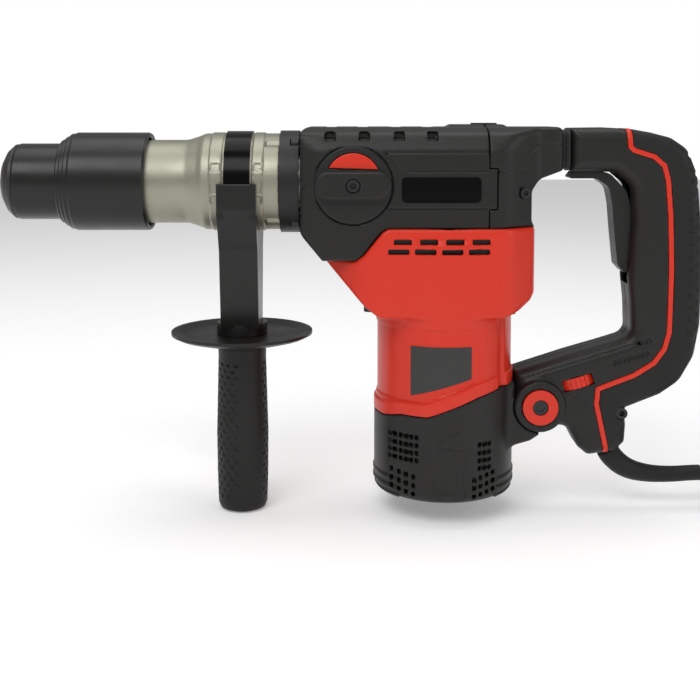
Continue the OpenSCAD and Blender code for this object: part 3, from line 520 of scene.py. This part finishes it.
# %% End cap
PIVOT = (129.1, 77.0)
arm_line = outline(rounded([(80, 48, 0), (104, 47.4, 6), (123, 53, 0), (129, 57, 0), (129, 84, 0),
                            (112, 84.4, 0), (112, 92.2, 1), (80, 92.2, 0)]))
panel = outline(rounded([(50.5, 55, 2), (76.8, 55, 2), (73.4, 33, 2), (76, 21, 2), (52, 21, 2),
                         (54.4, 33, 2)]))
facet = outline(rounded([(56, 58.6, 1), (71.8, 66.4, 1.5), (71.8, 70, 1), (58, 64, 1)]))
foot_facet = outline(rounded([(53.4, 28.8, 1), (70, 28.8, 1), (68, 24.6, 1), (55.6, 24.6, 1)]))
ear_line = outline([(100, 60), (125.1, 65.7), (129.1, 88), (100, 90)])
HOLES = ([(23.2 + 3.42 * i, z) for i in range(7) for z in (61.6, 56.4, 51.2, 46.2)]
         + [(85.6 + 3.4 * i, z) for i in range(3) for z in (56.8, 51.4, 46.2, 41.0)]
         + [(27.6 + 4.7 * i, z - 0.9 * i) for i in range(4) for z in (37.4, 31.4, 25.6)]
         + [(82 + 4.4 * i, z + 1.1 * i) for i in range(4) for z in (33.4, 27.6, 22)])


def cap_body(x, y, z):
    r = np.hypot(x - MOTOR_X, y)
    d = soft_max(r - CAP_R, CAP_Z - z, 9)
    return soft_max(d, -foot_line(x, z) + 0.2, 0.8)


def end_cap(x, y, z):
    d = body = cap_body(x, y, z)
    arm = slab(arm_line(x, z), y, 23, 4)
    pivot = np.hypot(x - PIVOT[0], z - PIVOT[1])
    d = soft_min(d, arm, 5)
    for zz in (18.9, 24.6, 30.4):
        rib = soft_max(body - 0.8, np.abs(z - zz) - 1.3, 0.5)
        rib = soft_max(rib, 32 - np.abs(x - MOTOR_X), 1)
        d = soft_min(d, rib, 0.6)
    d = groove(d, np.abs(panel(x, z)), 1.1, 0.45)
    d = groove(d, facet(x, z) + 0.5, 1.0, 0.5)
    d = groove(d, foot_facet(x, z) + 0.5, 1.0, 0.6)
    for hx, hz in HOLES:
        hole = box_shape(x, np.abs(y), z, (hx, 40, hz), (1.25, 14, 1.55), 0.3)
        d = np.maximum(d, -np.maximum(hole, -(body + 3)))
    inner = np.maximum(np.hypot(x - MOTOR_X, y) - CAP_R + 5, CAP_Z + WALL - z)
    inner = np.maximum(inner, soft_max(np.hypot(x - MOTOR_X, y) - CAP_R, CAP_Z - z, 9) + 5)
    d = soft_max(d, -inner, 0.4)
    d = soft_max(d, -np.maximum(pivot - 18.3, 9.6 - np.abs(y)), 0.5)
    ear = soft_max(np.minimum(pivot - 12, ear_line(x, z)), np.abs(y) - 9.4, 0.8)
    ear = np.maximum(ear, CAP_R - 1 - np.hypot(x - MOTOR_X, y))
    return np.maximum(np.minimum(d, ear), 5 - pivot)


mesh_of("end_cap_shell", end_cap, (13, -52, 14), (143, 52, 96), 1.0,
        "housing", black, "end_cap", slot_name="black_plastic")

# %% [markdown]
# ## Plates, screens and the mode selector
# The rating plate and the badge are blank. Dark screens sit behind the air slots.

# %% Small pieces of the housing
def rating_plate(x, y, z):
    film = np.abs(np.hypot(x - MOTOR_X, y) - MOTOR_R + 0.8) - 0.4
    return soft_max(soft_max(plate_bed(x, z) + 0.8, film, 0.2), y + 20, 0.2)


def vent_screen(x, y, z):
    return box_shape(x, np.abs(y), z, (60, 40.6, 190), (40, 0.8, 8), 0.3)


mesh_of("rating_plate_film", rating_plate, (36, -48, 86), (83, -37, 126), 0.45,
        "housing", plate_film, "rating_plate", slot_name="plate")
mesh_of("vent_screens", vent_screen, (18, -43, 180), (102, 43, 200), 0.8, "housing", satin,
        slot_name="smooth_black")

KNOB_Y = -CASE_W
INSERT_R = 17.9
insert_arc = outline([(SEL[0] + INSERT_R * math.cos(math.radians(a)),
                       233.1 + INSERT_R * math.sin(math.radians(a))) for a in range(23, 158, 5)])
bar_line = outline(rounded([(SEL[0] - 25.2, 220.6, 8.9), (SEL[0] + 25.2, 220.6, 8.9),
                            (SEL[0] + 25.2, 238.8, 8.9), (SEL[0] - 25.2, 238.8, 8.9)], 8))


def selector_knob(x, y, z):
    r = np.hypot(x - SEL[0], z - SEL[1])
    disc = soft_max(r - 25.4, np.abs(y - KNOB_Y - 1.1) - 1.3, 0.8)
    bar = soft_max(bar_line(x, z), np.abs(y + 46) - 3, 1.6)
    d = soft_min(disc, bar, 0.8)
    d = soft_min(d, soft_max(r - 4.7, np.abs(y + 38) - 5, 0.3), 0.3)
    d = soft_max(d, -np.maximum(insert_arc(x, z) - 0.4, y - KNOB_Y - 1), 0.4)
    return soft_max(d, -np.maximum(r - 4.8, y + 44.6), 0.5)


def selector_insert(x, y, z):
    return soft_max(insert_arc(x, z) + 0.1, np.abs(y + 43.5) - 1.1, 0.6)


mesh_of("selector_knob_shell", selector_knob, (-26, -50, 202), (29, -31, 257), 0.7,
        "selector", black, "selector_knob", slot_name="black_plastic")
mesh_of("selector_insert_shell", selector_insert, (-17, -46, 237), (20, -41, 253), 0.5,
        "selector", red, "selector_insert", slot_name="red_plastic")

# %% [markdown]
# ## Gear barrel
# The cast neck swells into a collar. Low ribs and pads stand on the collar beside the band.

# %% Gear barrel
barrel_line = outline(rounded([
    (-148, 22, 0), (-148, 28.7, 1), (-112, 28.7, 12), (-103.5, 31.4, 5), (-99.5, 33.2, 5),
    (-48.2, 33.2, 0.4), (-48.2, 31.2, 0), (-35.2, 31.2, 0), (-35.2, 28.2, 0), (-44, 28.2, 0),
    (-44, 22, 0)]))


def gear_barrel(x, y, z):
    r = np.hypot(y, z - BORE_Z)
    d = barrel_line(x, r)
    around = np.degrees(np.arctan2(np.abs(y), z - BORE_Z))
    for x0, x1 in ((-94.6, -86.2), (-65.8, -58.6)):
        rib = soft_max(r - 33.9, np.abs(x - (x0 + x1) / 2) - (x1 - x0) / 2, 0.6)
        rib = np.maximum(rib, 30 - r)
        pocket = np.maximum(np.abs(x - (x0 + x1) / 2) - (x1 - x0) / 2 + 1.1, 33.3 - r)
        for low, high in ((66, 76), (79, 101), (104, 114)):
            arc = np.maximum(low - around, around - high) * 0.58
            rib = soft_max(rib, -np.maximum(pocket, arc), 0.4)
        d = soft_min(d, rib, 0.4)
    for a in SCREW_ANGLES:
        c, q = math.cos(math.radians(a)), math.sin(math.radians(a))
        up = (z - BORE_Z) * c - y * q
        across = y * c + (z - BORE_Z) * q
        pad = box_shape(x, across, up, (-52, 0, 32), (5.6, 3.1, 3), 1.6)
        d = soft_min(d, pad, 0.8)
    return np.maximum(d, -np.maximum(r - 31.2, -x - 48.2))


mesh_of("gear_barrel_shell", gear_barrel, (-149, -36, 194), (-34.5, 36, 266), 0.8,
        "housing", cast, "gear_barrel", slot_name="cast_alu")

# %% [markdown]
# ## D-handle
# Two black halves meet in the middle. A red line runs between them and the soft rear grip.

# %% Handle pieces
HANDLE_W = 18.0
handle_line = outline(rounded([
    (149, 267, 1.5), (174.4, 267.3, 0), (190.5, 266.4, 0), (204, 264, 0), (218, 260.4, 12),
    (229.6, 252.6, 14), (236.6, 235, 20), (239.4, 206, 0), (240.6, 188, 0), (241, 161, 0),
    (240.2, 132, 20), (236.4, 110, 20), (226.6, 92.4, 20), (213, 83, 10), (189.4, 73.6, 2),
    (190.3, 61.4, 0), (189.6, 50, 3), (183, 43.4, 3), (164, 40.6, 4), (157, 46.5, 6),
    (148.9, 62, 8), (135, 60.5, 0), (129, 59.4, 0), (120, 61.9, 0), (113.7, 68.6, 0),
    (111.5, 77, 0), (112.6, 85, 0), (113.4, 99, 2), (149.2, 110.7, 0), (178, 119.2, 14),
    (192.8, 124, 8), (191.8, 147, 0), (189.9, 164, 0), (192.3, 206, 0), (190.6, 228, 9),
    (180, 237, 6), (149, 237, 1.5)], 6))
trim = [(188.3, 275), (189.0, 254.6), (191.5, 252), (205.4, 247.6), (212.4, 241.4), (215, 231.5),
        (217.2, 207), (218.4, 172), (218.2, 148), (217.6, 127), (214.6, 116), (207.6, 106.2),
        (194.2, 97.8), (169.6, 88.2), (168.6, 77.7), (177, 40), (178, 20)]
trim_line = line_distance(trim)
rear_zone = outline(trim + [(270, 20), (270, 275)])
trigger_slot = outline([(146, 228), (170, 228), (176, 160), (193, 160), (198, 168), (198, 225),
                        (183, 241), (146, 241.5)])
ear_slot = outline([(105, 50), (132, 50), (132, 104), (112, 96)])
DIAL = (156.0, 92.6)
SLOPE = math.radians(16.6)
seam_arm = line_distance([(114, 94.5), (150, 105.2), (196, 119.6)])
seam_low = line_distance([(146, 87), (164.8, 78.1)])
marks = [line_distance([(181, 106.4), (203, 113.4)]), line_distance([(196.8, 120), (204, 122)])]
DIMPLES = [(230.6 + 5 * (i % 2), 118 + 4.35 * i) for i in range(31)]


def handle_body(x, y, z):
    d = slab(handle_line(x, z), y, HANDLE_W, 8.5)
    boss = slab(np.hypot(x - PIVOT[0], z - PIVOT[1]) - 17.6, y, 24, 2)
    return soft_min(d, boss, 3)


def handle_cuts(d, x, y, z):
    pivot = np.hypot(x - PIVOT[0], z - PIVOT[1])
    d = soft_max(d, -np.maximum(pivot - 12.4, 22 - np.abs(y)), 0.5)
    d = np.maximum(d, 6.2 - pivot)
    d = soft_max(d, -np.maximum(pivot - 21.6, np.abs(y) - 9.8), 0.4)
    d = np.maximum(d, -np.maximum(ear_slot(x, z), np.abs(y) - 9.8))
    d = soft_max(d, -np.maximum(trigger_slot(x, z), np.abs(y) - 9.3), 0.6)
    u = (x - DIAL[0]) * math.cos(SLOPE) + (z - DIAL[1]) * math.sin(SLOPE)
    w = (z - DIAL[1]) * math.cos(SLOPE) - (x - DIAL[0]) * math.sin(SLOPE)
    window = np.maximum(np.maximum(np.abs(u) - 10.6, np.abs(w) - 4.1), y + 11)
    pocket = np.maximum(np.hypot(u, y + 2.4) - 16.4, np.abs(w) - 4.1)
    d = soft_max(d, -np.minimum(window, pocket), 0.6)
    d = soft_max(d, -np.maximum(np.hypot(x - 186.5, z - 70.7) - 4.4, 14 - np.abs(y)), 0.5)
    d = np.maximum(d, -np.maximum(np.hypot(y, z - 252) - 11.4, x - 161))
    return d


def handle_core(x, y, z):
    d = handle_body(x, y, z)
    d = groove(d, seam_arm(x, z), 0.9, 0.5)
    d = groove(d, seam_low(x, z), 0.9, 0.5)
    for mark in marks:
        d = groove(d, mark(x, z), 3, 1.8)
    d = soft_max(d, 1.9 - rear_zone(x, z), 0.7)
    d = soft_max(d, -(handle_body(x, y, z) + WALL), 0.4)
    return handle_cuts(d, x, y, z)


def left_half(x, y, z):
    return soft_max(handle_core(x, y, z), y + 0.05, 0.7)


def right_half(x, y, z):
    return soft_max(handle_core(x, y, z), 0.05 - y, 0.7)


def soft_grip(x, y, z):
    d = handle_body(x, y, z)
    grip = d
    for dx, dz in DIMPLES:
        dot = np.hypot(x - dx, z - dz) - 1.6
        d = soft_max(d, -np.maximum(dot, -(grip + 0.8)), 0.7)
    d = soft_max(d, rear_zone(x, z) + 1.9, 0.7)
    d = soft_max(d, -(grip + WALL), 0.4)
    return handle_cuts(d, x, y, z)


def trim_shape(x, y, z):
    body = handle_body(x, y, z)
    d = soft_max(body - 0.25, trim_line(x, z) - 1.75, 0.7)
    return handle_cuts(soft_max(d, -(body + WALL), 0.3), x, y, z)


mesh_of("handle_left_shell", left_half, (109, -27, 36), (222, 2, 271), 1.0,
        "handle", black, "handle_left", slot_name="black_plastic")
mesh_of("handle_right_shell", right_half, (109, -2, 36), (222, 27, 271), 1.0,
        "handle", black, "handle_right", slot_name="black_plastic")
mesh_of("soft_grip_shell", soft_grip, (168, -21, 38), (244, 21, 271), 0.9,
        "handle", rubber, "soft_grip", slot_name="soft_rubber")
mesh_of("red_trim_shell", trim_shape, (164, -21, 36), (223, 21, 272), 0.8,
        "handle", red, "red_trim", slot_name="red_plastic")

# %% [markdown]
# A hexagon socket shows in the middle of each pivot cap.

# %% Sockets of the pivot screws
def pivot_socket(x, y, z):
    r = np.hypot(x - PIVOT[0], z - PIVOT[1])
    a = np.arctan2(z - PIVOT[1], x - PIVOT[0])
    six = r * np.cos(np.mod(a, math.pi / 3) - math.pi / 6) - 2.6
    d = soft_max(r - 5.2, np.abs(np.abs(y) - 23.9) - 0.7, 0.3)
    return soft_max(d, -np.maximum(six, 23.7 - np.abs(y)), 0.2)


mesh_of("pivot_sockets", pivot_socket, (122, -25.4, 70), (136, 25.4, 84), 0.35,
        "handle", dark_steel, slot_name="dark_steel")

# %% [markdown]
# ## Side grip
# The grip has staggered dimples all round, except on the smooth panels.

# %% Side grip
AUX_X = -76.0
grip_profile = outline([(0, 0), (12, 0), (15.8, 1.6), (17.1, 5), (17.7, 24), (18, 54), (17.2, 84),
                        (16.6, 108), (16.8, 114), (16.4, 116.9), (5.6, 116.9), (5.6, 3), (0, 3)])


def grip_shape(x, y, z):
    r = np.hypot(x - AUX_X, y)
    d = grip_profile(r, z)
    a = np.degrees(np.arctan2(y, x - AUX_X))
    row = np.round((z - 12) / 4.2)
    shift = np.where(np.mod(row, 2) > 0.5, 10.0, 0.0)
    near_a = np.round((a - shift) / 20) * 20 + shift
    smooth = (np.abs(near_a + 64) < 29) | (np.abs(near_a - 116) < 29)
    da = np.radians(a - near_a) * 17.5
    dz = z - 12 - row * 4.2
    dot = np.hypot(da, dz) - 1.35
    dot = np.where(smooth | (z < 10) | (z > 106), 5.0, dot)
    return soft_max(d, -np.maximum(dot, -(d + 0.7)), 0.6)


mesh_of("side_grip_shell", grip_shape, (-96, -20, -1.5), (-56, 20, 119), 0.7,
        "side_grip", rubber, "aux_grip", slot_name="soft_rubber")

# %% [markdown]
# ## Cord boot
# A tapered rubber sleeve protects the cord where it leaves the handle.

# %% Cord boot
BOOT = [(180.6, 0, 41), (183.4, 0, 36.6), (189.4, 0, 30.8), (196.6, 0, 26.8), (204.6, 0, 24.6),
        (214, 0, 23.4), (226, 0, 23.2), (238, 0, 23.9), (246, 0, 24.2)]
boot_line = spline(BOOT, 12)
last = len(boot_line) - 1
boot_radii = [(8 - 2.6 * ease(i / last * 1.15)) / 1000 for i in range(last + 1)]
boot = curve("cord_boot_sleeve", [[c / 1000 for c in p] for p in boot_line], boot_radii)
paint(boot, rubber)
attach(boot, "handle")
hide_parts("cord_boot")

# %% [markdown]
# ## Softer edges on the CAD pieces
# A small bevel catches the light on the machined and moulded pieces.

# %% Bevels
for name, width in (("handle_stem", 0.0012), ("guard_disc", 0.0012), ("trigger", 0.0012),
                    ("front_ring", 0.0005), ("lock_sleeve", 0.0004), ("chuck_front_sleeve", 0.0004),
                    ("dust_cap", 0.0005), ("pivot_caps", 0.0007), ("motor_screws", 0.0003),
                    ("grease_cap", 0.0005), ("plug", 0.0015), ("clamp_band", 0.0003),
                    ("bellows", 0.0006), ("speed_dial", 0.0002)):
    mod = NODES[name].modifiers.new("edge", "BEVEL")
    mod.width = width
    mod.segments = 3
    mod.limit_method = "ANGLE"
    mod.angle_limit = math.radians(35)
    mod.harden_normals = True

# %% [markdown]
# ## Floor and light
# A plain pale floor, a large soft light in front, another above and a weaker one from the right.
# The world is bright for the camera and dimmer as a light.

# %% Floor and light
bpy.ops.mesh.primitive_plane_add(size=8, location=(0, 0, 0))
floor = bpy.context.object
floor.name = "floor"
paper = shader("floor_paper", (0.9, 0.9, 0.9), 0.9, spec=0.1)
paper.node_tree.nodes["Principled BSDF"].inputs["Emission Color"].default_value = (1, 1, 1, 1)
paper.node_tree.nodes["Principled BSDF"].inputs["Emission Strength"].default_value = 0.22
paint(floor, paper)


def area(name, place, target, size, power):
    data = bpy.data.lights.new(name, "AREA")
    data.shape = "RECTANGLE"
    data.size, data.size_y = size
    data.energy = power
    o = bpy.data.objects.new(name, data)
    bpy.context.scene.collection.objects.link(o)
    o.location = place
    o.rotation_euler = (Vector(target) - Vector(place)).to_track_quat("-Z", "Y").to_euler()
    return o


area("key", (-0.5, -1.3, 1.5), (0, 0, 0.15), (1.4, 0.9), 18)
area("fill", (1.5, -0.9, 0.8), (0, 0, 0.15), (0.8, 1.0), 5)
area("top", (0, 0.2, 1.8), (0, 0, 0.15), (1.6, 1.2), 13)
world = bpy.data.worlds.new("studio")
bpy.context.scene.world = world
world.use_nodes = True
sky = world.node_tree.nodes["Background"]
sky.inputs["Color"].default_value = (1, 1, 1, 1)
ray = world.node_tree.nodes.new("ShaderNodeLightPath")
level = world.node_tree.nodes.new("ShaderNodeMapRange")
level.inputs["To Min"].default_value = 0.36
level.inputs["To Max"].default_value = 1.0
world.node_tree.links.new(ray.outputs["Is Camera Ray"], level.inputs["Value"])
world.node_tree.links.new(level.outputs["Result"], sky.inputs["Strength"])
bpy.context.scene.view_settings.view_transform = "Standard"
